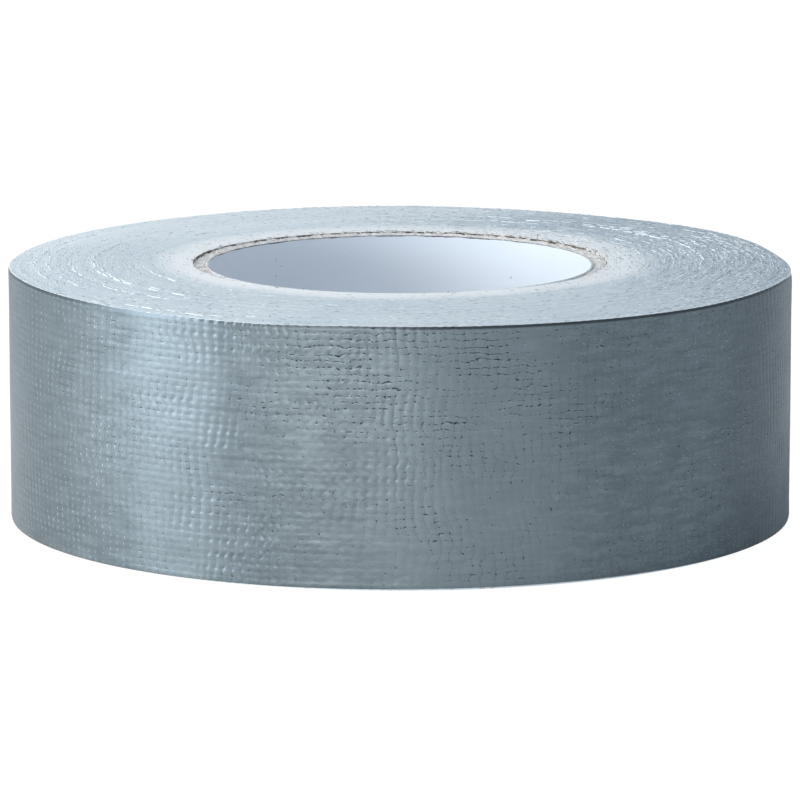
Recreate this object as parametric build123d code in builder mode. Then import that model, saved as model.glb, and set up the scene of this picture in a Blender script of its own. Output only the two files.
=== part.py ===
"""Duct tape roll, 50 mm wide, on a 76 mm paper core.

The roll lies on one end face, as it is stored.  The origin is the centre of the bore on
that lower face, and +Z is the roll's axis, pointing up.  All sizes are millimetres, and
angles are degrees counted anticlockwise from +X when seen from above.

A spiral-wound paper tube carries one continuous strip of tape.  The tube is a smooth
white liner, lapped and glued, inside five grey board plies.  The strip is a laminate: a
polyethylene film on the outside, a woven scrim cloth behind it, and a rubber adhesive
that grips the turn below.  The strip is wound anticlockwise, one thickness further out
with every turn.  Its inner turns are bonded into one solid pack.  The last turn and the
free tail are built layer by layer, because that is where the strip can be seen and peeled.
"""

import os
from math import ceil, cos, degrees, radians, sin

from build123d import *

os.makedirs("parts", exist_ok=True)

# Paper core
core_bore_radius = 38.0
liner_thickness = 0.45
board_thickness = 0.56
board_ply_count = 5
core_radius = core_bore_radius + liner_thickness + board_ply_count * board_thickness

# Helical butt seam where the edges of one board ply's own strip meet
seam_gap = 0.35
seam_lead = 110.0  # axial advance of the seam in one full turn
seam_stagger = 137.0  # turn between the seam of one ply and that of the next
seam_overrun = 2.0  # how far the seam cutter runs past both ends and both walls

# Tape strip, with its layers from the film inwards
tape_width = 50.0
film_thickness = 0.08
scrim_thickness = 0.09
adhesive_thickness = 0.08
tape_thickness = film_thickness + scrim_thickness + adhesive_thickness
turn_count = 147
roll_radius = core_radius + turn_count * tape_thickness

# Places along the strip are angles travelled from its free end.  They are all whole
# numbers of arcs, so that neighbouring turns meet on the very same arcs.
arc_span = 30.0
tail_root = -arc_span
outer_turn_lap = 2 * arc_span  # how far the last turn runs on beneath its own end
outer_turn_start = -360 - outer_turn_lap
free_end_angle = 118.0
tail_clearance = 0.02  # the film's release coat, between the tail and the turn below

# Small void beside the strip's first edge, where the second turn climbs over it
lead_end_angle = 180.0
lead_void_length = 4.0
lead_void_span = degrees(lead_void_length / core_radius)

# Height of each layer's two faces above the strip's sticky face
layers = {
    "adhesive": (0.0, adhesive_thickness),
    "scrim": (adhesive_thickness, adhesive_thickness + scrim_thickness),
    "film": (adhesive_thickness + scrim_thickness, tape_thickness),
}


def polar(radius, angle):
    """The point at a radius and an angle from +X, in the plane of the end face."""
    return (radius * cos(radians(angle)), radius * sin(radians(angle)))


def strip_point(travel, height):
    """A point on the strip's end face.

    travel is the angle along the strip, zero at the free end and negative before it, and
    height is how far the point lies above the strip's sticky face.
    """
    sticky_radius = roll_radius - tape_thickness + tape_thickness * travel / 360
    return polar(sticky_radius + height, free_end_angle + travel)


def spiral(start, end, height):
    """Draws the strip's spiral at one height above its sticky face, as three-point arcs."""
    count = ceil(abs(end - start) / arc_span)
    step = (end - start) / count
    for i in range(count):
        first = start + i * step
        ThreePointArc(
            strip_point(first, height),
            strip_point(first + step / 2, height),
            strip_point(first + step, height),
        )


def band(start, end, low, high):
    """Draws the closed outline of one layer of the strip, seen from above."""
    spiral(start, end, low)
    Line(strip_point(end, low), strip_point(end, high))
    spiral(end, start, high)
    Line(strip_point(start, high), strip_point(start, low))


def finish(part, name):
    """Names a finished piece and writes its file."""
    part.label = name
    export_step(part, f"parts/{name}.step")


# White liner that faces the bore.  Its edges are lapped, so it is closed all round.
with BuildPart() as core_liner:
    with BuildSketch():
        Circle(core_bore_radius + liner_thickness)
        Circle(core_bore_radius, mode=Mode.SUBTRACT)
    extrude(amount=tape_width)
finish(core_liner.part, "core_liner")

# Board plies, from the liner outwards.  Each one is a strip of board wound into a tube,
# and its two edges leave a narrow helical gap.
for number in range(board_ply_count):
    inner_radius = core_bore_radius + liner_thickness + number * board_thickness
    middle_radius = inner_radius + board_thickness / 2
    seam_angle = number * seam_stagger

    with BuildPart() as seam_cutter:
        with BuildLine() as seam:
            Helix(
                pitch=seam_lead,
                height=tape_width + 2 * seam_overrun,
                radius=middle_radius,
                center=(0, 0, -seam_overrun),
            )
        with BuildSketch(Plane(origin=seam.line @ 0, x_dir=(1, 0, 0), z_dir=seam.line % 0)):
            Rectangle(board_thickness + seam_overrun, seam_gap)
        sweep(is_frenet=True)

    with BuildPart() as ply:
        with BuildSketch():
            Circle(inner_radius + board_thickness)
            Circle(inner_radius, mode=Mode.SUBTRACT)
        extrude(amount=tape_width)
        add(seam_cutter.part, rotation=(0, 0, seam_angle), mode=Mode.SUBTRACT)
    finish(ply.part, f"core_board_ply_{number + 1}")

# Inner turns of the strip, bonded into one ring.  Its outside is the spiral's last buried
# turn, with a step one tape thick where the strip goes on into the outer turn.
with BuildPart() as wound_turns:
    with BuildSketch():
        with BuildLine():
            spiral(outer_turn_start - 360, outer_turn_start, tape_thickness)
            Line(
                strip_point(outer_turn_start, tape_thickness),
                strip_point(outer_turn_start - 360, tape_thickness),
            )
        make_face()
        Circle(core_radius, mode=Mode.SUBTRACT)
    extrude(amount=tape_width)
    with BuildSketch():
        with BuildLine():
            void_corner = polar(core_radius, lead_end_angle)
            void_top = polar(core_radius + tape_thickness, lead_end_angle)
            void_tip = polar(core_radius, lead_end_angle + lead_void_span)
            Polyline(void_corner, void_top, void_tip)
            ThreePointArc(
                void_tip,
                polar(core_radius, lead_end_angle + lead_void_span / 2),
                void_corner,
            )
        make_face()
    extrude(amount=tape_width, mode=Mode.SUBTRACT)
finish(wound_turns.part, "wound_turns")

# The last turn, from where it leaves the bonded pack to the root of the tail
for layer, (low, high) in layers.items():
    with BuildPart() as outer_turn:
        with BuildSketch():
            with BuildLine():
                band(outer_turn_start, tail_root, low, high)
            make_face()
        extrude(amount=tape_width)
    finish(outer_turn.part, f"outer_turn_{layer}")

# The tail, which peels off the turn below and hinges at its root.  The release coat's
# clearance is taken off its adhesive, so the film stays level with the outer turn's.
for layer, (low, high) in layers.items():
    with BuildPart() as tail:
        with BuildSketch():
            with BuildLine():
                band(tail_root, 0, max(low, tail_clearance), high)
            make_face()
        extrude(amount=tape_width)
    finish(tail.part, f"tail_{layer}")

# The tail hinges on the outer corner of its root, so that it never digs into the turn
hinge_x, hinge_y = strip_point(tail_root, tape_thickness)
print(f"tail hinge at x {hinge_x:.4f}, y {hinge_y:.4f}, along Z")
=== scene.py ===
from math import radians

import bpy
import numpy as np
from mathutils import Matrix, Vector


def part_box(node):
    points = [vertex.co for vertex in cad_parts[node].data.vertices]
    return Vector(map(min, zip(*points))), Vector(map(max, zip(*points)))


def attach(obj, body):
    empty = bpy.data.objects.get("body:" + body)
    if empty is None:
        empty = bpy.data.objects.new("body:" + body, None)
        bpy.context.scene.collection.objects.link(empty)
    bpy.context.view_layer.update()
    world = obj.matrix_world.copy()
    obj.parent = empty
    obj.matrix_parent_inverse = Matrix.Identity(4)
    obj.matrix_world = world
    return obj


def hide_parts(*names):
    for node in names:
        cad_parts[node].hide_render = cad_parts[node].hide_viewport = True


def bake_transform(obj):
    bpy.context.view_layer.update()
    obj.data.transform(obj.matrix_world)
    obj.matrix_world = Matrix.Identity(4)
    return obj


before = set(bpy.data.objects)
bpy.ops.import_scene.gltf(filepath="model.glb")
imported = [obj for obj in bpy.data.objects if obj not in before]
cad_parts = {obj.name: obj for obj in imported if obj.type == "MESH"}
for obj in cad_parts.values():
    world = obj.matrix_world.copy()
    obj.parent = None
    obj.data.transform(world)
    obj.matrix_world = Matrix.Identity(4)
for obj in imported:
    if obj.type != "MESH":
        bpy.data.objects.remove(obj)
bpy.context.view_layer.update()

# ---------------------------------------------------------------------------------------
# White liner of the core: bleached paper, wound in a spiral and glued with its edge lapped
# over itself, so that one low step runs down the bore.  Its cut ends are slightly rough.

MM = 0.001
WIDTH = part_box("wound_turns")[1].z / MM
BORE_RADIUS = 38.0
LINER = 0.45  # thickness
LINER_LAP = 0.12  # height of the lap's step
LAP_LEAD = 110.0  # how far the lap runs down the bore in one turn


def drift(x, seed):
    """Smooth random values from -1 to 1, with a new one at each whole number."""
    knots = np.random.default_rng(seed).uniform(-1, 1, 4096)
    whole = np.floor(x).astype(int)
    part = x - whole
    part = part * part * (3 - 2 * part)
    return knots[whole % 4096] * (1 - part) + knots[(whole + 1) % 4096] * part


def around(degrees, reach, seed):
    """Smooth random values round the roll, closed after a full turn, reach degrees apart."""
    knots = np.random.default_rng(seed).uniform(-1, 1, round(360 / reach))
    places = np.arange(len(knots)) * 360 / len(knots)
    return np.interp(np.asarray(degrees) % 360, places, knots, period=360)


def at_polar(radius, degrees, height):
    """Places in metres from a radius, an angle and a height in millimetres."""
    angle = np.radians(degrees)
    places = np.stack([radius * np.cos(angle), radius * np.sin(angle), height], axis=-1)
    return places * MM


def rolled(name, columns, rows, shape, finishes, finish_of=None, uv_of=None, sharp=40):
    """Adds a grid and rolls it into a closed piece.

    shape turns column and row numbers into places, finish_of turns a face's row and column
    into the number of its finish, and uv_of gives the two coordinates that a cloth follows.
    """
    bpy.ops.object.select_all(action="DESELECT")
    bpy.ops.mesh.primitive_grid_add(x_subdivisions=columns, y_subdivisions=rows, size=2)
    piece = bpy.context.object
    piece.name = name
    piece.data.name = name
    mesh = piece.data
    flat = np.empty(len(mesh.vertices) * 3)
    mesh.vertices.foreach_get("co", flat)
    flat = flat.reshape(-1, 3)
    column = np.rint((flat[:, 0] + 1) / 2 * columns)
    row = np.rint((flat[:, 1] + 1) / 2 * rows)
    mesh.vertices.foreach_set("co", shape(column, row).ravel())

    corners = np.empty(len(mesh.loops), int)
    mesh.loops.foreach_get("vertex_index", corners)
    if finish_of:
        face_row = row[corners].reshape(-1, 4).min(axis=1)
        face_column = column[corners].reshape(-1, 4).min(axis=1)
        chosen = finish_of(face_column, face_row).astype(np.int32)
        mesh.polygons.foreach_set("material_index", chosen)
    if uv_of:
        threads = uv_of(column, row)[corners]
        mesh.uv_layers[0].data.foreach_set("uv", threads.ravel())
    for finish in finishes:
        mesh.materials.append(finish)
    mesh.update()

    bpy.ops.object.mode_set(mode="EDIT")
    bpy.ops.mesh.select_all(action="SELECT")
    bpy.ops.mesh.remove_doubles(threshold=1e-6)
    bpy.ops.mesh.dissolve_degenerate(threshold=1e-7)
    bpy.ops.mesh.select_all(action="SELECT")
    bpy.ops.mesh.fill_holes(sides=0)
    bpy.ops.mesh.select_all(action="SELECT")
    bpy.ops.mesh.normals_make_consistent(inside=False)
    bpy.ops.object.mode_set(mode="OBJECT")
    bpy.ops.object.shade_smooth_by_angle(angle=radians(sharp))
    return piece


class Wire:
    """An output of a node.  Arithmetic on it adds Math nodes to its material."""

    def __init__(self, tree, socket):
        self.tree = tree
        self.socket = socket

    def node(self, kind, settings, sockets, output=0):
        """Adds a node, makes its settings, feeds its sockets and returns an output."""
        made = self.tree.nodes.new(kind)
        for name, value in settings.items():
            if name == "stops":
                ramp = made.color_ramp
                while len(ramp.elements) < len(value):
                    ramp.elements.new(1.0)
                for stop, (place, color) in zip(ramp.elements, value):
                    stop.position = place
                    stop.color = color
            else:
                setattr(made, name, value)
        for name, value in sockets.items():
            if isinstance(value, Wire):
                self.tree.links.new(value.socket, made.inputs[name])
            else:
                made.inputs[name].default_value = value
        return Wire(self.tree, made.outputs[output])

    def math(self, operation, *others):
        sockets = {place: value for place, value in enumerate((self, *others))}
        return self.node("ShaderNodeMath", {"operation": operation}, sockets)

    def __add__(self, other):
        return self.math("ADD", other)

    def __sub__(self, other):
        return self.math("SUBTRACT", other)

    def __rsub__(self, other):
        return self.node("ShaderNodeMath", {"operation": "SUBTRACT"}, {0: other, 1: self})

    def __mul__(self, other):
        return self.math("MULTIPLY", other)

    def __truediv__(self, other):
        return self.math("DIVIDE", other)

    def band(self, low, high):
        """0 at low and below, 1 at high and above, smooth between them."""
        settings = {"interpolation_type": "SMOOTHSTEP"}
        return self.node("ShaderNodeMapRange", settings, {0: self, 1: low, 2: high})

    def noise(self, scale, detail=2.0, roughness=0.5):
        """Smooth noise from 0 to 1 over this place or number."""
        place = "Vector" if self.socket.type == "VECTOR" else "W"
        settings = {"noise_dimensions": "3D" if place == "Vector" else "1D"}
        sockets = {place: self, "Scale": scale, "Detail": detail, "Roughness": roughness}
        return self.node("ShaderNodeTexNoise", settings, sockets)

    def mix(self, first, second, blend="MIX"):
        """Goes from the first colour to the second as this number goes from 0 to 1."""
        settings = {"data_type": "RGBA", "blend_type": blend}
        return self.node("ShaderNodeMix", settings, {0: self, 6: first, 7: second}, 2)

    def axis(self, letter):
        """One of a place's three numbers."""
        return self.node("ShaderNodeSeparateXYZ", {}, {0: self}, "XYZ".index(letter))

    def joined(self, y, z):
        """A place made of this number and two others."""
        return self.node("ShaderNodeCombineXYZ", {}, {0: self, 1: y, 2: z})

    def bump(self, depth):
        """A normal from this height, depth metres deep for each unit."""
        sockets = {"Height": self, "Distance": depth, "Strength": 1.0}
        return self.node("ShaderNodeBump", {}, sockets)


def new_finish(name):
    """A new material, the wire of the place on its piece, and its shader."""
    finish = bpy.data.materials.new(name)
    finish.use_nodes = True
    tree = finish.node_tree
    place = Wire(tree, None).node("ShaderNodeTexCoord", {}, {}, "Object")
    return finish, place, tree.nodes["Principled BSDF"]


def feed(shader, **sockets):
    """Sets the shader's sockets, named with _ for each space, to wires or to values."""
    for name, value in sockets.items():
        socket = shader.inputs[name.replace("_", " ")]
        if isinstance(value, Wire):
            value.tree.links.new(value.socket, socket)
        else:
            socket.default_value = value


liner_paper, place, shader = new_finish("liner_paper")
mottle = place.noise(220.0, 3.0)
clouds = place.noise(35.0, 2.0)
paper = clouds.mix((0.80, 0.83, 0.88, 1), (0.82, 0.85, 0.90, 1))
speck = place.noise(900.0, 1.0).band(0.76, 0.82)
feed(
    shader,
    Base_Color=speck.mix(paper, (0.45, 0.43, 0.42, 1)),
    Roughness=mottle * 0.12 + 0.5,
    Specular_IOR_Level=0.35,
    Normal=mottle.bump(0.00001),
)

# Painted shade: the wall of the step in the liner's upper end is coloured near-black with light
# scuffs, standing for the shade in the gap there.
torn_paper, place, shader = new_finish("torn_paper")
scuff = place.noise(900.0, 3.0, 0.6)
feed(
    shader,
    Base_Color=scuff.band(0.40, 0.72).mix((0.045, 0.045, 0.05, 1), (0.35, 0.34, 0.34, 1)),
    Roughness=0.9,
    Normal=scuff.bump(0.0002),
)

cut_paper, place, shader = new_finish("cut_paper")
scuff = place.noise(1400.0, 3.0, 0.6)
feed(
    shader,
    Base_Color=scuff.band(0.4, 0.6).mix((0.50, 0.48, 0.46, 1), (0.80, 0.79, 0.78, 1)),
    Roughness=0.9,
    Normal=scuff.bump(0.0001),
)

LINER_COLUMNS = 240
BORE_ROWS = 109  # each row is turned by one column, as the lap winds down the bore
BACK_ROWS = 24
LINER_ROWS = BORE_ROWS + BACK_ROWS + 4
LAP_START = 200  # angle of the lap at the upper end
LIP = 0.14  # width of the clean cut next to the bore
CUT_SUNK, TORN_SUNK = 0.13, 0.10  # how far the two parts of the end lie below the width
CHEWED = 1.6  # how much the far side is chewed
END_FUZZ = 0.035


def liner_shape(column, row):
    # rows: down the bore, up the hidden outside, and over the stepped upper end
    up = np.clip(row - BORE_ROWS - 1, 0, BACK_ROWS) / BACK_ROWS
    height = WIDTH * np.where(row <= BORE_ROWS, 1 - row / BORE_ROWS, up)
    lap = np.where(column > LINER_COLUMNS, 0.0, LINER_LAP * column / LINER_COLUMNS)
    degrees = LAP_START + 360 * np.minimum(column, LINER_COLUMNS) / LINER_COLUMNS
    degrees = degrees + 360 * (height - WIDTH) / LAP_LEAD
    outside = (row > BORE_ROWS) & (row <= BORE_ROWS + BACK_ROWS + 1)
    step = (row == LINER_ROWS - 2) | (row == LINER_ROWS - 1)
    radius = BORE_RADIUS + np.where(outside, LINER, lap)
    radius = np.where(step, BORE_RADIUS + lap + LIP, radius)
    chewed = np.clip(around(degrees, 3, 12), -0.2, 1) * 0.10 + 0.08
    far_side = np.clip(np.sin(np.radians(degrees - 15)), 0, 1)
    torn = outside | (row == LINER_ROWS - 2)
    sunk = np.where(torn, TORN_SUNK, CUT_SUNK + CHEWED * chewed * far_side)
    fuzz = END_FUZZ * drift(degrees * 2.3 + 900, 11)
    upper_end = ((row == 0) | (row > BORE_ROWS)) & (height > WIDTH - 0.01)
    height = np.where(upper_end, height - sunk + fuzz, height)
    return at_polar(radius, degrees, np.where(height < 0.01, np.abs(fuzz), height))


def liner_finish(column, row):
    torn_or_cut = np.where(row == BORE_ROWS + BACK_ROWS + 2, 1, 2)
    return np.where(row > BORE_ROWS + BACK_ROWS, torn_or_cut, 0)


liner = rolled(
    "liner",
    LINER_COLUMNS + 1,
    LINER_ROWS,
    liner_shape,
    [liner_paper, torn_paper, cut_paper],
    liner_finish,
)
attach(liner, "roll")
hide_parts("core_liner")

# ---------------------------------------------------------------------------------------
# Board plies of the core: strips of grey chipboard, wound over each other on a mandrel,
# glued and sawn to length, which leaves furry ends.  Each ply's own edges butt in a seam.

PLY_COUNT = 5
CORE_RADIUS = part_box("core_board_ply_5")[1].x / MM
PLY = (CORE_RADIUS - BORE_RADIUS - LINER) / PLY_COUNT
PLY_COLUMNS = 900
PLY_ROWS = 6
BOARD_SUNK = 0.28  # how far the sawn ends lie below the width
FAR_LIFT, FAR_LIFT_OUTER = 0.04, 0.30  # how much less at the far side, for all and outermost
NEAR_SINK = 0.12  # how much more at the near side
TEAR, NICK = 0.55, 0.25  # how deep the outermost ply is torn and the innermost nicked
SEAM_STAGGER = 137.0
SEAM_HALF, SEAM_DEPTH = 0.35, 0.6  # half width in degrees, and depth, of a seam's end
SIDE_GAP = 0.97  # share of its space that a ply fills

chipboard, place, shader = new_finish("chipboard")
fibre = place.noise(2600.0, 3.0, 0.65)
lumps = place.noise(700.0, 3.0)
stain = place.noise(120.0, 2.0)
board = lumps.band(0.36, 0.56).mix((0.60, 0.55, 0.52, 1), (0.93, 0.90, 0.88, 1))
board = (stain.band(0.35, 0.7) * 0.5).mix(board, (0.80, 0.77, 0.75, 1))
dark_fibre = fibre.band(0.58, 0.68) * 0.75
feed(
    shader,
    Base_Color=dark_fibre.mix(board, (0.16, 0.125, 0.10, 1)),
    Roughness=0.95,
    Specular_IOR_Level=0.2,
    Normal=(fibre + lumps).bump(0.00022),
)

for number in range(PLY_COUNT):
    inside = BORE_RADIUS + LINER + number * PLY

    def ply_shape(column, row):
        # rows: inside edge, four points over the end, outside edge, for both ends
        across = np.array([0, 0, 0.3, 0.7, 1, 1, 0])[row.astype(int)]
        degrees = 360 * column / PLY_COLUMNS
        ragged = 0.05 * drift(column * 0.5, 40 + number)
        ragged += 0.07 * drift(column * 0.17, 50 + number)
        ragged += 0.05 * drift(column * 1.0 + 300 * row, 60)
        if number == PLY_COUNT - 1:
            torn = np.clip(around(degrees, 5, 71) + 0.9 * around(degrees, 1.2, 73), 0, 1)
            ragged -= TEAR * torn * np.clip(0.35 + np.sin(np.radians(degrees - 5)), 0, 1)
        if number == 0:
            ragged -= NICK * np.clip(around(degrees, 9, 72), 0, 1)
        seam = (degrees - number * SEAM_STAGGER - 360 * WIDTH / LAP_LEAD + 180) % 360 - 180
        ragged -= SEAM_DEPTH * (np.abs(seam) < SEAM_HALF)
        end_edge = np.where((row == 1) | (row == 4), -0.06, 0.0)
        far = np.clip(np.sin(np.radians(degrees)) + 0.25, 0, 1)
        lift = (FAR_LIFT + FAR_LIFT_OUTER * number / 4) * far
        sink = NEAR_SINK * np.clip(-np.sin(np.radians(degrees)), 0, 1)
        top = WIDTH - BOARD_SUNK + lift - sink + ragged + end_edge
        height = np.where((row == 0) | (row >= 5), WIDTH / 2, top)
        return at_polar(inside + PLY * across * SIDE_GAP, degrees, height)

    def ply_foot(column, row):
        places = ply_shape(column, row)
        places[:, 2] = np.maximum(WIDTH * MM - places[:, 2] - BOARD_SUNK * MM, 0)
        return places

    name = f"board_ply_{number + 1}"
    upper = rolled(name + "_upper", PLY_COLUMNS, PLY_ROWS, ply_shape, [chipboard])
    lower = rolled(name + "_lower", PLY_COLUMNS, PLY_ROWS, ply_foot, [chipboard])
    for half in (upper, lower):
        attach(half, "roll")
    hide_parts(f"core_board_ply_{number + 1}")

# ---------------------------------------------------------------------------------------
# Wound turns: the strip's cut edge, turn on turn, as both end faces show it.  The slitter
# leaves it slightly uneven, so turns stand proud or sink, and the face is a little crowned.

ROLL_RADIUS = 78.0
TAPE = 0.25  # thickness
FREE_END = 118.0  # angle of the strip's cut end
TURNS = 145
LAP = 30.0
SPIRAL_START = ROLL_RADIUS - TAPE * (1 + (360 + LAP) / 360 + TURNS)
FACE_COLUMNS = 300
RIDGE = 0.014  # how far the middle of each edge stands above its sides
KNOCKED_DOWN = 0.5  # how far the worn corner of the rim is pressed down
WORN_ANGLE = 4
# how high the outermost turns stand above the width, as angles and heights
RIM_RISE = [
    (0, -0.5), (12, -0.5), (22, -0.1), (35, 0.1), (55, 0.0), (75, 0.25), (88, 0.45),
    (104, 0.4), (125, 0.18), (150, 0.0), (172, -0.2), (185, 0.1), (198, 0.4), (212, 0.25),
    (232, 0.0), (250, -0.3), (264, -0.05), (285, -0.2), (318, -0.35), (340, -0.1),
]


def rim_rise(degrees):
    places, rises = np.array(RIM_RISE).T
    return np.interp(np.asarray(degrees) % 360, places, rises, period=360)


def worn_corner(degrees):
    """1 where the rim has been knocked round, 0 elsewhere."""
    away = np.abs((np.asarray(degrees) - WORN_ANGLE + 180) % 360 - 180)
    near = np.clip(1 - away / 24, 0, 1)
    return near**2 * (3 - 2 * near)


def crown(radius, degrees):
    """Height of the upper end face above the width."""
    swell = np.interp(radius, [41, 50, 60, 69, 74, 78], [0.3, 0.5, 0.7, 0.5, 0.25, 0.0])
    rim = np.clip((radius - 62) / 16, 0, 1) ** 1.5 * rim_rise(degrees)
    knocked = worn_corner(degrees) * np.clip((radius - 74.5) / 3.5, 0, 1) ** 2
    near = np.clip(-np.sin(np.radians(degrees)), 0, 1) * np.clip((48 - radius) / 6, 0, 1)
    return swell + rim - KNOCKED_DOWN * knocked + 0.12 * near


def turn_height(travel):
    """Uneven height of the strip's edge along its length, travel counted in turns."""
    slow = drift(travel * 1.7, 21) * 0.018
    quick = drift(travel * 9.0, 22) * 0.016
    return slow + quick


FULL_TURN = 6.283185  # in radians
WEFT_SPACING = 1.95

wound_edge, place, shader = new_finish("wound_edge")
# the turn, the way along the strip in turns, and the layer within the turn
x, y = place.axis("X"), place.axis("Y")
radius = (x * x + y * y).math("SQRT") * 1000.0
swing = y.math("ARCTAN2", x) / FULL_TURN
turn = (radius - CORE_RADIUS) / TAPE - swing
travel = turn.math("FLOOR") + swing
layer = turn.math("FRACT")
# the cut ends of the wefts: a dot for each
turn_radius = turn.math("FLOOR") * TAPE + CORE_RADIUS
thread = turn_radius * swing * (FULL_TURN / WEFT_SPACING)
cell = turn.math("FLOOR").joined(thread.math("FLOOR"), 0.0)
chance = place.node("ShaderNodeTexWhiteNoise", {"noise_dimensions": "2D"}, {"Vector": cell}, 0)
dot = (thread.math("FRACT") - 0.5).math("ABSOLUTE").band(0.30, 0.16)
dot = dot * (layer - 0.5).math("ABSOLUTE").band(0.5, 0.3)
# broad tones: darker towards the right and back as painted shade, over the worn part, lighter
# towards the back-left as a painted sheen, and lighter next to the core
clouds = place.noise(45.0, 3.0)
streak = travel.noise(11.0, 2.0)
short_streak = travel.noise(60.0, 2.0)
band_tone = (turn / 6.0).noise(1.0, 3.0)
wear_and_shade = (x * 0.8 + y * 0.5).band(-0.01, 0.055)
busy = place.noise(30.0, 2.0).band(0.35, 0.62) * 0.5 + wear_and_shade * 0.7
tone = clouds.band(0.3, 0.7).mix((0.60, 0.665, 0.705, 1), (0.67, 0.725, 0.755, 1))
# Painted shade: the end face is coloured darker towards the right and back, standing for the
# light falling off away from the lamp at the left.
tone = (wear_and_shade * 0.62).mix(tone, (0.33, 0.405, 0.465, 1))
# Painted sheen: the end face is coloured lighter towards the back-left, standing for its grazing
# reflection of the white backdrop and the lamp.
back = (y * 0.9 - x * 0.45).band(0.030, 0.062)
tone = (back * 0.8).mix(tone, (0.86, 0.90, 0.92, 1))
tone = (band_tone.band(0.40, 0.62) * 0.30).mix(tone, (0.76, 0.81, 0.84, 1))
tone = (band_tone.band(0.45, 0.30) * 0.25).mix(tone, (0.44, 0.51, 0.56, 1))
tone = (streak.band(0.40, 0.62) * 0.16).mix(tone, (0.45, 0.52, 0.57, 1))
near_core = (radius + clouds * 8.0 - wear_and_shade * 2.0).band(55.5, 47.5)
tone = (near_core * 0.92).mix(tone, (0.95, 0.945, 0.935, 1))
# small marks: dots, speckle, runs along the strip, dirt, and a painted highlight along the rim
tone = (dot * (chance + busy * 0.12).band(0.90, 0.95)).mix(tone, (0.97, 0.98, 0.985, 1))
tone = (dot * (chance - busy * 0.035).band(0.035, 0.01) * 0.9).mix(tone, (0.10, 0.11, 0.12, 1))
speckle = place.noise(1900.0, 2.0, 0.6)
tone = (speckle.band(0.62, 0.68) * (busy * 0.5 + 0.25)).mix(tone, (0.93, 0.95, 0.96, 1))
tone = (speckle.band(0.38, 0.31) * (busy * 0.5 + 0.15)).mix(tone, (0.22, 0.25, 0.28, 1))
bright_run = (short_streak * 0.6 + streak * 0.4 + wear_and_shade * 0.01).band(0.59, 0.65)
tone = (bright_run * (wear_and_shade * 0.45 + 0.25)).mix(tone, (0.97, 0.975, 0.98, 1))
dark_run = (short_streak * 0.6 + streak * 0.4).band(0.41, 0.34)
tone = (dark_run * (wear_and_shade * 0.7)).mix(tone, (0.20, 0.235, 0.26, 1))
dirt = (place.noise(1050.0, 2.0, 0.6) + wear_and_shade * 0.05).band(0.69, 0.715)
tone = (dirt * 0.85).mix(tone, (0.09, 0.085, 0.08, 1))
# Painted highlight: a light band on the outermost turns, along the rim.
tone = (radius.band(77.2, 77.7) * 0.6).mix(tone, (0.92, 0.94, 0.955, 1))
edge_bump = speckle * 0.4 + short_streak * 0.8 + dot * chance
feed(
    shader,
    Base_Color=tone,
    Roughness=0.55,
    Specular_IOR_Level=0.4,
    Normal=edge_bump.bump(0.00006),
)

# The first turn's inner wall above the boards: light patches and brown tape gum, the brown taken
# down to near-black as painted shade in the crevice there.
first_turn_back, place, shader = new_finish("first_turn_back")
scuff = place.noise(900.0, 3.0, 0.6)
patch = place.noise(420.0, 3.0, 0.65).band(0.44, 0.52)
brown = scuff.mix((0.05, 0.038, 0.028, 1), (0.20, 0.16, 0.12, 1))
feed(
    shader,
    Base_Color=patch.mix((0.74, 0.72, 0.70, 1), brown),
    Roughness=0.8,
    Normal=scuff.bump(0.0002),
)

FACE_POINTS = 2 * (TURNS + 1)  # along the end face, two to a turn
FACE_ROWS = FACE_POINTS + 3
WALL_IN = 4 * TAPE  # how far the hidden outer wall keeps clear of the dents outside it


def face_travel(column, row):
    """Where a column and row are along the strip, in turns, and if they are on a wall."""
    point = np.clip(row - 1, 0, FACE_POINTS)
    walls = (row == 0) | (row >= FACE_POINTS + 2)
    return point, point / 2 - 1 + column / FACE_COLUMNS, walls


def face_shape(column, row):
    # rows: inner wall at half height, out over the end face, and down the outer wall
    point, travel, walls = face_travel(column, row)
    radius = np.clip(SPIRAL_START + TAPE * travel, CORE_RADIUS, None)
    degrees = FREE_END - LAP + 360 * (column / FACE_COLUMNS)
    ridge = np.where(point % 2 == 0, -RIDGE, 0.0)
    uneven = (turn_height(travel) + ridge) * np.where(point >= FACE_POINTS - 1, 0.0, 1.0)
    top = WIDTH + crown(radius, degrees) + uneven
    top = np.where(point == 0, top - 0.05, top)
    radius = np.where((row == 0) | (row == FACE_ROWS), CORE_RADIUS, radius)
    radius = np.where(row == FACE_ROWS - 1, radius - WALL_IN, radius)
    return at_polar(radius, degrees, np.where(walls, WIDTH / 2, top))


def face_foot(column, row):
    point, travel, walls = face_travel(column, row)
    places = face_shape(column, row)
    radius = np.hypot(places[:, 0], places[:, 1]) / MM
    ridge = np.where(point % 2 == 0, RIDGE, 0.0)
    sunk = 0.08 + turn_height(travel + 500) + ridge
    height = np.where(walls, WIDTH / 2, np.clip(sunk, 0, None) * (radius < ROLL_RADIUS - 1))
    places[:, 2] = height * MM
    return places


def face_finish(column, row):
    return np.where(row == 0, 1, 0)


finishes = [wound_edge, first_turn_back]
for name, shape in (("wound_turns_upper", face_shape), ("wound_turns_lower", face_foot)):
    half = rolled(name, FACE_COLUMNS, FACE_ROWS, shape, finishes, face_finish, sharp=60)
    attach(half, "roll")
    if name.endswith("upper"):
        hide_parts("wound_turns")

# ---------------------------------------------------------------------------------------
# Loose bits: cotton threads that the slitter pulled out of the cut edge and left lying along
# the turns, and brown paper fibres torn up where the sawn boards meet the first turn.

STRAND_STEPS = 8
STRAND_SIDES = 5
UPPER_BITS, LOWER_BITS, FIBRES = 330, 160, 150

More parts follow.
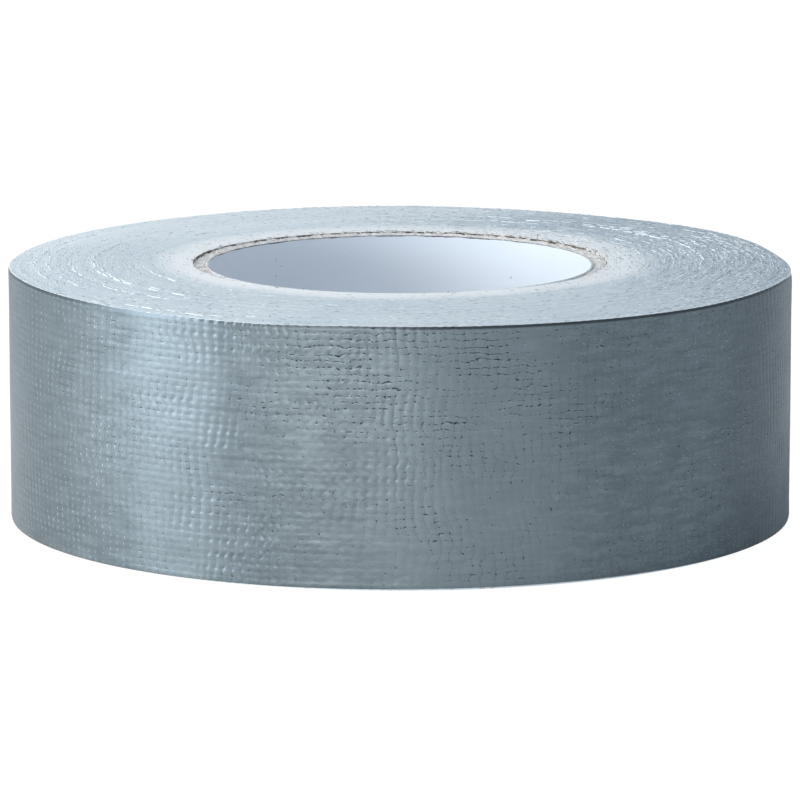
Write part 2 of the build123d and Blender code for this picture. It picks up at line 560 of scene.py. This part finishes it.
cotton, place, shader = new_finish("cotton")
fuzz = place.noise(2500.0, 2.0)
feed(
    shader,
    Base_Color=fuzz.mix((0.86, 0.89, 0.91, 1), (0.96, 0.97, 0.975, 1)),
    Roughness=0.8,
    Normal=fuzz.bump(0.00005),
)
brown_fibre, place, shader = new_finish("brown_fibre")
fuzz = place.noise(1500.0, 2.0)
feed(
    shader,
    Base_Color=fuzz.band(0.35, 0.65).mix((0.08, 0.055, 0.035, 1), (0.36, 0.29, 0.22, 1)),
    Roughness=0.9,
    Normal=fuzz.bump(0.00005),
)


def strand_shape(column, row):
    angle = 2 * np.pi * row / STRAND_SIDES
    swell = np.where((column == 0) | (column == STRAND_STEPS), 0.35, 1.0)
    across, above = swell * np.cos(angle), swell * np.sin(angle)
    return np.stack([column / STRAND_STEPS, across, above], axis=-1)


strand = rolled("strand", STRAND_STEPS, STRAND_SIDES, strand_shape, [cotton], sharp=80)
unit = np.empty(len(strand.data.vertices) * 3)
strand.data.vertices.foreach_get("co", unit)
along, aside, above = unit.reshape(-1, 3).T


def lay(finish, thick, degrees, radius, height, spread=1.0):
    """Copies the strand along a path given by three functions of the share of its length."""
    copy = strand.copy()
    copy.data = strand.data.copy()
    bpy.context.collection.objects.link(copy)
    copy.data.materials[0] = finish
    out = radius(along) + aside * thick * spread
    places = at_polar(out, degrees(along), height(along) + above * thick)
    copy.data.vertices.foreach_set("co", places.ravel())
    copy.data.update()
    return copy


def gathered(name, copies, body):
    """Joins copies into one piece that rides on a body."""
    bpy.ops.object.select_all(action="DESELECT")
    for copy in copies:
        copy.select_set(True)
    bpy.context.view_layer.objects.active = copies[0]
    bpy.ops.object.join()
    piece = bpy.context.object
    piece.name = name
    piece.data.name = name
    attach(piece, body)


def thread_bit(chance, radius, start, length, thick, spread=1.9, upper=True):
    """One thread bit lying along its turn from an angle on, length in millimetres."""
    sweep = np.degrees(length / radius)
    sway = chance.uniform(-0.12, 0.12)
    lift = chance.uniform(0.0, 0.08)

    def turned(share):
        return start + sweep * share

    def out(share):
        return radius + TAPE * share * sweep / 360 + sway * np.sin(3 * share)

    def up(share):
        face = WIDTH + crown(out(share), turned(share)) if upper else 0.05 * share
        return face + lift + 0.03 * np.sin(7 * share)

    return lay(cotton, thick, turned, out, up, spread)


# radius, first and last angle, and thickness of the longest rows of pulled threads
ROWS_OF_THREADS = [
    (72.7, 152, 203, 0.06),
    (72.2, 150, 192, 0.05),
    (70.0, 166, 206, 0.06),
    (65.4, 170, 196, 0.07),
    (61.0, 157, 228, 0.09),
    (60.3, 160, 222, 0.06),
    (51.2, 188, 212, 0.08),
    (66.5, 205, 232, 0.06),
    (75.0, 226, 242, 0.08),
    (60.2, -12, 62, 0.10),
    (60.8, 8, 40, 0.08),
    (64.5, -4, 22, 0.09),
    (70.5, 3, 32, 0.07),
    (73.0, 5, 36, 0.07),
    (54.5, -8, 16, 0.06),
    (57.0, 60, 98, 0.06),
    (62.2, 20, 75, 0.06),
    (67.3, -6, 24, 0.07),
    (72.0, -14, 12, 0.08),
    (75.2, -18, 20, 0.06),
    (49.5, -10, 30, 0.06),
    (52.5, -14, 30, 0.06),
    (55.6, -6, 40, 0.06),
    (58.0, -20, 22, 0.05),
    (63.2, -10, 50, 0.06),
    (66.0, -20, 14, 0.06),
    (69.0, -10, 30, 0.06),
    (74.2, -4, 30, 0.05),
]
chance = np.random.default_rng(81)
bits = []
for radius, first, last, thick in ROWS_OF_THREADS:
    place = float(first)
    while place < last:
        length = chance.uniform(0.8, 4.5)
        if chance.random() < 0.75:
            spot = radius + chance.normal(0, 0.15)
            slim = thick * chance.uniform(0.8, 1.4)
            spread = 1.4 if radius < 62 or first > 100 else 1.1
            bits.append(thread_bit(chance, spot, place, length, slim, spread))
        place += np.degrees((length + chance.uniform(0.2, 1.5)) / radius)
for number in range(UPPER_BITS):
    radius = chance.uniform(43, 77)
    start = chance.choice([chance.uniform(-50, 100), chance.uniform(0, 360)])
    length = chance.uniform(0.4, 2.6)
    thick = chance.uniform(0.03, 0.07)
    bits.append(thread_bit(chance, radius, start, length, thick, spread=1.3))
gathered("thread_bits_upper", bits, "roll")

bits = []
for number in range(LOWER_BITS):
    radius, start = chance.uniform(43, 76), chance.uniform(0, 360)
    length = chance.uniform(0.5, 4.0)
    thick = chance.uniform(0.04, 0.06)
    bits.append(thread_bit(chance, radius, start, length, thick, upper=False))
gathered("thread_bits_lower", bits, "roll")


def paper_fibre(chance, radius, degrees, length, thick, heading, rise):
    """One fibre from a place on the board's edge, heading degrees away from the turns."""
    over = length * np.cos(np.radians(heading)) / radius
    away = length * np.sin(np.radians(heading))
    curl = chance.uniform(-0.4, 0.4)

    def turned(share):
        return degrees + np.degrees(over) * share

    def out(share):
        return radius + away * share + curl * np.sin(np.pi * share)

    def up(share):
        return WIDTH + 0.05 + rise * np.sin(np.pi * share * 0.8) + 0.25 * share

    return lay(brown_fibre, thick, turned, out, up)


bits = [
    paper_fibre(chance, 41.5, 186.5, 1.9, 0.10, 90, 0.05),
    paper_fibre(chance, 44.3, 353.0, 1.5, 0.10, 20, 0.05),
    paper_fibre(chance, 45.6, 356.0, 1.6, 0.12, 10, 0.05),
    paper_fibre(chance, 44.9, 350.0, 1.0, 0.09, 30, 0.05),
    paper_fibre(chance, 41.3, 47.0, 1.7, 0.07, 60, 0.9),
]
for number in range(FIBRES):
    spots = [chance.uniform(15, 100), chance.uniform(15, 178), chance.uniform(0, 360)]
    degrees = chance.choice(spots)
    radius = 41.2 + chance.normal(0, 0.15)
    length = chance.uniform(0.5, 2.0)
    thick = chance.uniform(0.025, 0.06)
    heading = chance.normal(0, 18)
    rise = chance.uniform(-0.15, 0.35)
    bits.append(paper_fibre(chance, radius, degrees, length, thick, heading, rise))
gathered("paper_fibres", bits, "roll")

# ---------------------------------------------------------------------------------------
# Outer turn: the strip's last turn as one skin.  Silver-grey polyethylene film is rolled
# hot on to plain-woven cloth, and sinks between its threads, with a pit at each crossing.

WEFTS = 252  # threads across the strip, in one turn
WARPS = 38  # threads along the strip, over its width
FINE = 5  # grid lines for each thread
WEFT_STEP = 360 / WEFTS
HEIGHT_ROWS = WARPS * FINE
TAIL_WEFTS = 21  # threads across the tail, counted on from 0 at the cut end

# depths in millimetres: how far the film sinks beside the warps (always, where it is drawn
# tight and where it is domed), between the wefts (always and where it is loose), at the
# crossings, and over the hollows of the weave; then the depth of small and of wide dents
WARP_DEPTH, WARP_TIGHT, WARP_DOMED = 0.0015, 0.0035, 0.009
WEFT_DEPTH, WEFT_LOOSE = 0.014, 0.060
CROSSING_DEPTH, HOLLOW_DEPTH = 0.022, 0.006
SMALL_DENT, WIDE_DENT = 0.012, 0.045

FOOT_LIFT = 0.30  # how far the lower edge stands off the table at the front
TEETH, BACK_TEETH = 0.015, 0.06  # thread ends that stick up at the rim, all round and behind
KNOCKED_IN, KNOCKED_FROM = 1.1, 47.2  # the worn corner: how far in, and from what height
EDGE_TURN, EDGE_TURN_NEXT = 0.08, 0.04  # how far the film turns in at its two edges


def drift_2d(x, y, seed):
    """Smooth random values from -1 to 1 over a plane."""
    knots = np.random.default_rng(seed).uniform(-1, 1, (256, 256))
    i, j = np.floor(x).astype(int), np.floor(y).astype(int)
    u, v = x - i, y - j
    u, v = u * u * (3 - 2 * u), v * v * (3 - 2 * v)
    near = knots[i % 256, j % 256] * (1 - u) + knots[(i + 1) % 256, j % 256] * u
    far = knots[i % 256, (j + 1) % 256] * (1 - u) + knots[(i + 1) % 256, (j + 1) % 256] * u
    return near * (1 - v) + far * v


def groove(thread, power):
    """1 in the gap between two threads, 0 on top of each."""
    return 1 - np.abs(np.sin(np.pi * thread)) ** power


def slackness(weft):
    """How loosely the film lies on the cloth round the roll, from about 0.5 to 1.4."""
    degrees = (FREE_END + weft * WEFT_STEP) % 360
    places = [0, 30, 180, 214, 228, 246, 256, 275, 300, 330, 345]
    slacks = [1.0, 0.7, 0.5, 0.7, 1.0, 1.6, 1.2, 0.6, 0.55, 0.6, 1.1]
    return np.interp(degrees, places, slacks, period=360)


def weave(weft, warp):
    """How deep the film sinks into the cloth below its highest threads, in millimetres."""
    slack = slackness(weft)
    loose = np.clip(0.5 + 1.0 * drift_2d(weft / 4.3, warp / 4.3, 31), 0, 1)
    tight = np.clip(0.5 + 1.0 * drift_2d(weft / 5, warp / 7, 32), 0, 1)
    domed = np.clip(slack - 0.9, 0, 0.6)
    across = groove(weft, 0.5 + domed)
    along = groove(warp, 0.6 + domed)
    depth = slack * (WARP_DEPTH + WARP_TIGHT * tight + WARP_DOMED * domed) * along
    depth += slack * (WEFT_DEPTH + WEFT_LOOSE * loose) * across
    depth += CROSSING_DEPTH * slack * along * across
    depth += HOLLOW_DEPTH * slack * (1 - np.sin(np.pi * weft) * np.sin(np.pi * warp))
    edge = np.clip(np.minimum(warp, WARPS - warp) / 3, 0, 1)
    tail_end = np.clip(-(weft + TAIL_WEFTS) / 5, 0, 1)
    lap_end = np.clip((weft + WEFTS) / 5, 0, 1)
    dents = SMALL_DENT * (1 + drift_2d(weft / 2.7, warp / 2.6, 33))
    dents += WIDE_DENT * (1 + drift_2d(weft / 6.5, warp / 5.2, 34))
    return np.clip(depth + dents * edge * tail_end * lap_end * slack, 0, None)


def wander(weft, warp):
    """How far a weft thread strays along the strip, in thread spacings."""
    stray = 0.14 * drift_2d(weft / 2.1, warp / 1.6, 35)
    stray += 0.40 * drift_2d(weft / 4.1, warp / 6.3, 37)
    stray += 1.2 * drift_2d(weft / 17, warp / 19, 36)
    bowed = np.clip(0.4 + drift_2d(weft / 9, warp / 9, 38), 0, 1)
    stray += 0.09 * np.sin(np.pi * warp) * bowed
    return stray * np.clip(-weft / 3, 0, 1)


def strip_place(weft, warp, inward):
    """A place on the strip, inward millimetres below its outer face."""
    travel = (weft + wander(weft, warp)) * WEFT_STEP
    degrees = FREE_END + travel
    radius = ROLL_RADIUS + TAPE * travel / 360 - inward
    share = warp / WARPS
    foot = FOOT_LIFT * np.clip(np.cos(np.radians(degrees - 288)), 0, 1) ** 4
    teeth = TEETH + BACK_TEETH * np.clip(np.cos(np.radians(degrees - 40)), 0, 1) ** 2
    thread_end = teeth * (drift(weft * 2 + 700, 39) + np.cos(2 * np.pi * weft)) * share**8
    top = WIDTH + rim_rise(degrees) - KNOCKED_DOWN * worn_corner(degrees) + thread_end
    height = foot + (top - foot) * share
    corner = np.clip((height - KNOCKED_FROM) / (WIDTH - KNOCKED_FROM), 0, 1) ** 2
    return radius - KNOCKED_IN * worn_corner(degrees) * corner, degrees, height


def skin_grid(column, row, span):
    """Thread numbers, and whether they are on the film, of a skin's columns and rows."""
    # columns: one more at each end turns in, rows: inner face, up the film, inner face
    weft = np.clip(column - 1, 0, span * FINE) / FINE
    step = np.clip(row - 1, 0, HEIGHT_ROWS)
    step = np.where((row == 0) | (row == HEIGHT_ROWS + 3), 0, step)
    turned_in = (column == 0) | (column == span * FINE + 2)
    on_film = (row >= 1) & (row <= HEIGHT_ROWS + 1) & ~turned_in
    return weft, step / FINE, on_film


def skin_shape(first_weft, span):
    def shape(column, row):
        weft, warp, on_film = skin_grid(column, row, span)
        weft += first_weft
        to_edge = np.minimum(warp, WARPS - warp) * FINE
        rim = np.where(to_edge < 1.5, EDGE_TURN_NEXT, 0.0)
        rim = np.where(to_edge < 0.5, EDGE_TURN, rim)
        inward = np.where(on_film, weave(weft, warp) + rim, 2 * TAPE)
        return at_polar(*strip_place(weft, warp, inward))

    return shape


def skin_uv(first_weft, span):
    def uv(column, row):
        weft, warp, on_film = skin_grid(column, row, span)
        return np.stack([first_weft + weft, warp], axis=-1)

    return uv


film, place, shader = new_finish("film")
# the nearest crossing of threads; away from the left side the marks stray from the grid
threads = place.node("ShaderNodeUVMap", {}, {}, 0)
weft, warp = threads.axis("X"), threads.axis("Y")
x, z = place.axis("X"), place.axis("Z")
# Painted shadow: a dark line along the film's upper edge, stronger towards the right, standing
# for the shade under the rim.
rim_shadow = warp.band(37.45, 37.7) * (x.band(-0.02, 0.01) * 0.35 + 0.5)
left = x.band(-0.040, -0.062)
astray = 1.0 - x.band(-0.025, -0.045)
weft_astray = (weft.joined(warp, 0.0).noise(0.62, 2.0) - 0.5) * 1.3
warp_astray = (weft.joined(warp, 40.0).noise(0.55, 2.0) - 0.5) * 1.7
weft, warp = weft + weft_astray * astray, warp + warp_astray * astray
weft_off = (weft.math("FRACT") - 0.5).math("ABSOLUTE")
warp_off = (warp.math("FRACT") - 0.5).math("ABSOLUTE")
weft_line, warp_line = weft_off.band(0.40, 0.5), warp_off.band(0.36, 0.5)
corner = (weft + 0.5).math("FLOOR").joined((warp + 0.5).math("FLOOR"), 0.0)
chance = place.node("ShaderNodeTexWhiteNoise", {"noise_dimensions": "2D"}, {"Vector": corner}, 0)
# marks: pinholes with painted shade in them, creases with a painted shadow and a painted
# highlight on their lip, knots with painted glints, and soft ribs with painted light and shade
# along the strip
patchy = threads.noise(0.13, 2.0)
creased = x.band(-0.030, -0.008) * x.band(0.040, 0.020) * z.band(0.022, 0.034)
pricked = x.band(0.060, 0.067) * x.band(0.077, 0.071)
worn = patchy + creased * 0.24
clear = patchy.band(0.40, 0.58)
pit = weft_off.band(0.43, 0.475) * warp_off.band(0.38, 0.46)
pit = pit * (chance + worn + pricked * 0.36).band(1.24, 1.38)
dash_chance = ((warp + 0.5).math("FLOOR") * 7.31 + weft * 2.3).noise(1.0, 1.0) + worn * 0.8
crease_shadow = warp_off.band(0.40, 0.48) * dash_chance.band(1.11, 1.19)
lip_highlight = ((warp + 0.16).math("FRACT") - 0.5).math("ABSOLUTE").band(0.38, 0.48)
lip_highlight = lip_highlight * dash_chance.band(1.08, 1.2)
knot_and_glint = weft_off.band(0.10, 0.02) * warp_off.band(0.28, 0.10) * chance.band(0.25, 0.95)
rib_and_shading = (weft * 0.30).joined(warp * 0.85, 0.0).noise(1.0, 2.0, 0.6)
grime = place.noise(60.0, 3.0)
fine = place.noise(3600.0, 2.0)
mid = place.noise(700.0, 2.0)
# colour: broad tones first, then the marks
silver = grime.band(0.3, 0.7).mix((0.178, 0.209, 0.221, 1), (0.205, 0.237, 0.249, 1))
# Painted light and shade: the soft ribs are coloured darker on one side of the noise and lighter
# on the other.
silver = (rib_and_shading.band(0.50, 0.64) * 0.42).mix(silver, (0.125, 0.150, 0.160, 1))
silver = (rib_and_shading.band(0.47, 0.36) * 0.36).mix(silver, (0.27, 0.31, 0.325, 1))
# Painted light and shade by place round the side: lighter in the two bands where the lamps fall,
# and darker at both far sides.
lit = x.band(-0.010, 0.004) * x.band(0.042, 0.022)
lit = lit + x.band(-0.053, -0.046) * x.band(-0.031, -0.038)
silver = (lit * 0.55).mix(silver, (0.285, 0.325, 0.34, 1))
side_shade = x.band(0.056, 0.070) + x.band(-0.058, -0.072)
silver = (side_shade * 0.5).mix(silver, (0.088, 0.112, 0.121, 1))
# Painted highlight: a light line on the lip beside each crease.
silver = (lip_highlight * 0.45).mix(silver, (0.36, 0.41, 0.43, 1))
# Painted shade: the grooves between the threads are coloured darker, more where the weave shows
# clearly.
groove_shade = weft_line * (clear * 0.24 + 0.06) + warp_line * (clear * 0.10 + 0.03)
silver = groove_shade.mix(silver, (0.09, 0.11, 0.118, 1))
# Painted shadow: the creases are coloured near-black.
silver = (crease_shadow * 0.85).mix(silver, (0.022, 0.026, 0.028, 1))
# Painted shade: the pits are coloured near-black.
silver = (pit * 0.9).mix(silver, (0.010, 0.012, 0.013, 1))
glint = fine.band(0.66, 0.71) * (x.band(0.02, 0.06) * 0.5 + 0.25)
# Painted glints: the knots, mostly on the left where the light grazes, and small specks are
# coloured light.
silver = (knot_and_glint * (left * 0.6 + 0.05) + glint).mix(silver, (0.60, 0.67, 0.71, 1))
silver = rim_shadow.mix(silver, (0.04, 0.047, 0.05, 1))
height = knot_and_glint * (left * 0.03 + 0.004) - pit * 0.06 - crease_shadow * 0.05
height = height + fine * 0.008 + mid * 0.006 - rib_and_shading * 0.025
feed(
    shader,
    Base_Color=silver,
    Roughness=grime * 0.10 + 0.27,
    Specular_IOR_Level=0.5,
    Metallic=0.6,
    Normal=height.bump(0.001),
)


def skin_finish(column, row):
    return np.where((row >= 1) & (row <= HEIGHT_ROWS), 0, 1)


# first and last weft of each skin, counted back from the cut end
SKINS = {
    "outer_turn_back": (-83, -21),
    "outer_turn_right": (-146, -83),
    "outer_turn_left": (-209, -146),
    "outer_turn_start": (-274, -209),
}
for name, (first, last) in SKINS.items():
    skin = rolled(
        name,
        (last - first) * FINE + 2,
        HEIGHT_ROWS + 3,
        skin_shape(first, last - first),
        [film, wound_edge],
        skin_finish,
        skin_uv(first, last - first),
        sharp=50,
    )
    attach(skin, "roll")
    if name == "outer_turn_left":
        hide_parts("outer_turn_film", "outer_turn_scrim", "outer_turn_adhesive")

# ---------------------------------------------------------------------------------------
# Tail: the free end of the strip, torn straight across.  Film outside, and on its back the
# cloth shows as a grid under a thin coat of tacky grey rubber.

TAIL_ROWS = 2 * HEIGHT_ROWS + 2
TAIL_TURN, TAIL_TURN_NEXT = 0.08, 0.05  # how far the film turns in at its two edges


def tail_step(row):
    """Which grid line of the strip's width a row of the tail lies on."""
    step = np.where(row <= HEIGHT_ROWS, row, 2 * HEIGHT_ROWS + 1 - row)
    return np.where(row == TAIL_ROWS, 0, step)


def tail_shape(column, row):
    # rows: up the film, then down the sticky side
    weft = column / FINE - TAIL_WEFTS
    step = tail_step(row)
    warp = step / FINE
    rim = np.where((step == 0) | (step == HEIGHT_ROWS), TAIL_TURN, 0.0)
    rim += np.where((step == 1) | (step == HEIGHT_ROWS - 1), TAIL_TURN_NEXT, 0.0)
    back = TAPE - 0.02 - 0.3 * weave(weft + 0.5, warp + 0.5)
    outside = (row <= HEIGHT_ROWS) | (row == TAIL_ROWS)
    inward = np.where(outside, weave(weft, warp) + rim, back)
    return at_polar(*strip_place(weft, warp, inward))


def tail_uv(column, row):
    step = np.where(row <= HEIGHT_ROWS, row, 2 * HEIGHT_ROWS + 1 - row)
    return np.stack([column / FINE - TAIL_WEFTS, step / FINE], axis=-1)


def tail_finish(column, row):
    return np.where(row < HEIGHT_ROWS, 0, np.where(row == HEIGHT_ROWS, 1, 2))


sticky_back, place, shader = new_finish("sticky_back")
threads = place.node("ShaderNodeUVMap", {}, {}, 0)
weft, warp = threads.axis("X"), threads.axis("Y")
weft_thread = (weft.math("FRACT") - 0.5).math("ABSOLUTE").band(0.22, 0.10)
warp_thread = (warp.math("FRACT") - 0.5).math("ABSOLUTE").band(0.24, 0.12)
cloth = weft_thread.math("MAXIMUM", warp_thread)
smear = place.noise(300.0, 3.0)
gum = smear.mix((0.34, 0.36, 0.355, 1), (0.46, 0.475, 0.465, 1))
feed(
    shader,
    Base_Color=(cloth * 0.8).mix(gum, (0.66, 0.67, 0.65, 1)),
    Roughness=smear * 0.2 + 0.3,
    Specular_IOR_Level=0.5,
    Normal=(cloth + smear * 0.5).bump(0.00008),
)

tail = rolled(
    "tail",
    TAIL_WEFTS * FINE,
    TAIL_ROWS,
    tail_shape,
    [film, wound_edge, sticky_back],
    tail_finish,
    tail_uv,
    sharp=50,
)
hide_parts("tail_film", "tail_scrim", "tail_adhesive")
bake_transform(tail)

# ---------------------------------------------------------------------------------------
# Frayed ends: where the strip was torn across, some of the cotton warps stick out past the
# film by up to a millimetre, soft and a little bent.

HELD = 0.6  # length of each warp that lies inside the strip

chance = np.random.default_rng(91)
bits = []
for warp in range(1, WARPS):
    if chance.random() < 0.65:
        reach = chance.uniform(0.3, 1.1)
        bend, lean = chance.uniform(-0.3, 0.3), chance.uniform(0.0, 0.15)
        middle = (warp + 0.5) * WIDTH / WARPS

        def along_strip(share, reach=reach):
            return FREE_END + np.degrees((-HELD + (HELD + reach) * share) / ROLL_RADIUS)

        def from_axis(share, lean=lean):
            return ROLL_RADIUS - 0.13 + lean * share**2

        def up_strip(share, bend=bend, middle=middle):
            return middle + bend * share**2

        bits.append(lay(cotton, 0.06, along_strip, from_axis, up_strip))
gathered("frayed_ends", bits, "tail")
bpy.data.objects.remove(strand)

# ---------------------------------------------------------------------------------------
# Studio: a white table that fades into a white background, a large soft light at the left
# with a bluer one beside it, a low one in front, and a wide dim one behind.

TABLE_FADE = 0.86  # share of the table's look that is the background's even white
TABLE_GLOW = 1.12

bpy.ops.object.select_all(action="DESELECT")
bpy.ops.mesh.primitive_plane_add(size=8, location=(0, 0, -0.0002))
table = bpy.context.object
table.name = "table"
white_top, place, shader = new_finish("white_top")
feed(shader, Base_Color=(0.85, 0.85, 0.85, 1), Roughness=0.7)
tree = white_top.node_tree
glow = tree.nodes.new("ShaderNodeEmission")
glow.inputs["Strength"].default_value = TABLE_GLOW
seen = place.node("ShaderNodeLightPath", {}, {}, "Is Camera Ray")
cover = place.node("ShaderNodeMixShader", {}, {0: seen * TABLE_FADE})
tree.links.new(shader.outputs[0], cover.socket.node.inputs[1])
tree.links.new(glow.outputs[0], cover.socket.node.inputs[2])
tree.links.new(cover.socket, tree.nodes["Material Output"].inputs["Surface"])
table.data.materials.append(white_top)


def soft_light(name, place, aim, width, height, watts, color):
    """Adds an area light at a place, turned towards another."""
    bpy.ops.object.light_add(type="AREA", location=place)
    light = bpy.context.object
    light.name = name
    light.data.shape = "RECTANGLE"
    light.data.size = width
    light.data.size_y = height
    light.data.energy = watts
    light.data.color = color
    light.rotation_euler = (Vector(aim) - Vector(place)).to_track_quat("-Z", "Y").to_euler()


soft_light("key", (-0.427, -0.106, 0.375), (0, 0, 0.04), 0.44, 0.66, 2.45, (1.0, 0.97, 0.89))
soft_light("strip", (-0.665, -0.225, 0.13), (0, 0, 0.04), 0.45, 0.25, 1.8, (0.83, 1.0, 1.18))
soft_light("front", (-0.28, -0.85, 0.07), (0, 0, 0.04), 0.55, 0.13, 1.4, (1.0, 1.0, 1.0))
soft_light("backdrop", (0.0, 1.3, 0.6), (0, 0, 0.1), 2.6, 1.4, 2.0, (1.0, 1.0, 1.0))

world = bpy.data.worlds.new("studio")
bpy.context.scene.world = world
world.use_nodes = True
backdrop = world.node_tree.nodes["Background"]
backdrop.inputs["Strength"].default_value = 1.0
seen = Wire(world.node_tree, None).node("ShaderNodeLightPath", {}, {}, "Is Camera Ray")
sky = seen.mix((0.405, 0.48, 0.56, 1), (1.0, 1.0, 1.0, 1))
world.node_tree.links.new(sky.socket, backdrop.inputs["Color"])

bpy.ops.object.camera_add(location=(0.0, -1.0739, 0.21396), rotation=(radians(79.88), 0, 0))
camera = bpy.context.object
camera.data.sensor_width = 36.0
camera.data.lens = 245.5
camera.data.clip_start = 0.01
bpy.context.scene.camera = camera
bpy.context.scene.view_settings.view_transform = "Standard"
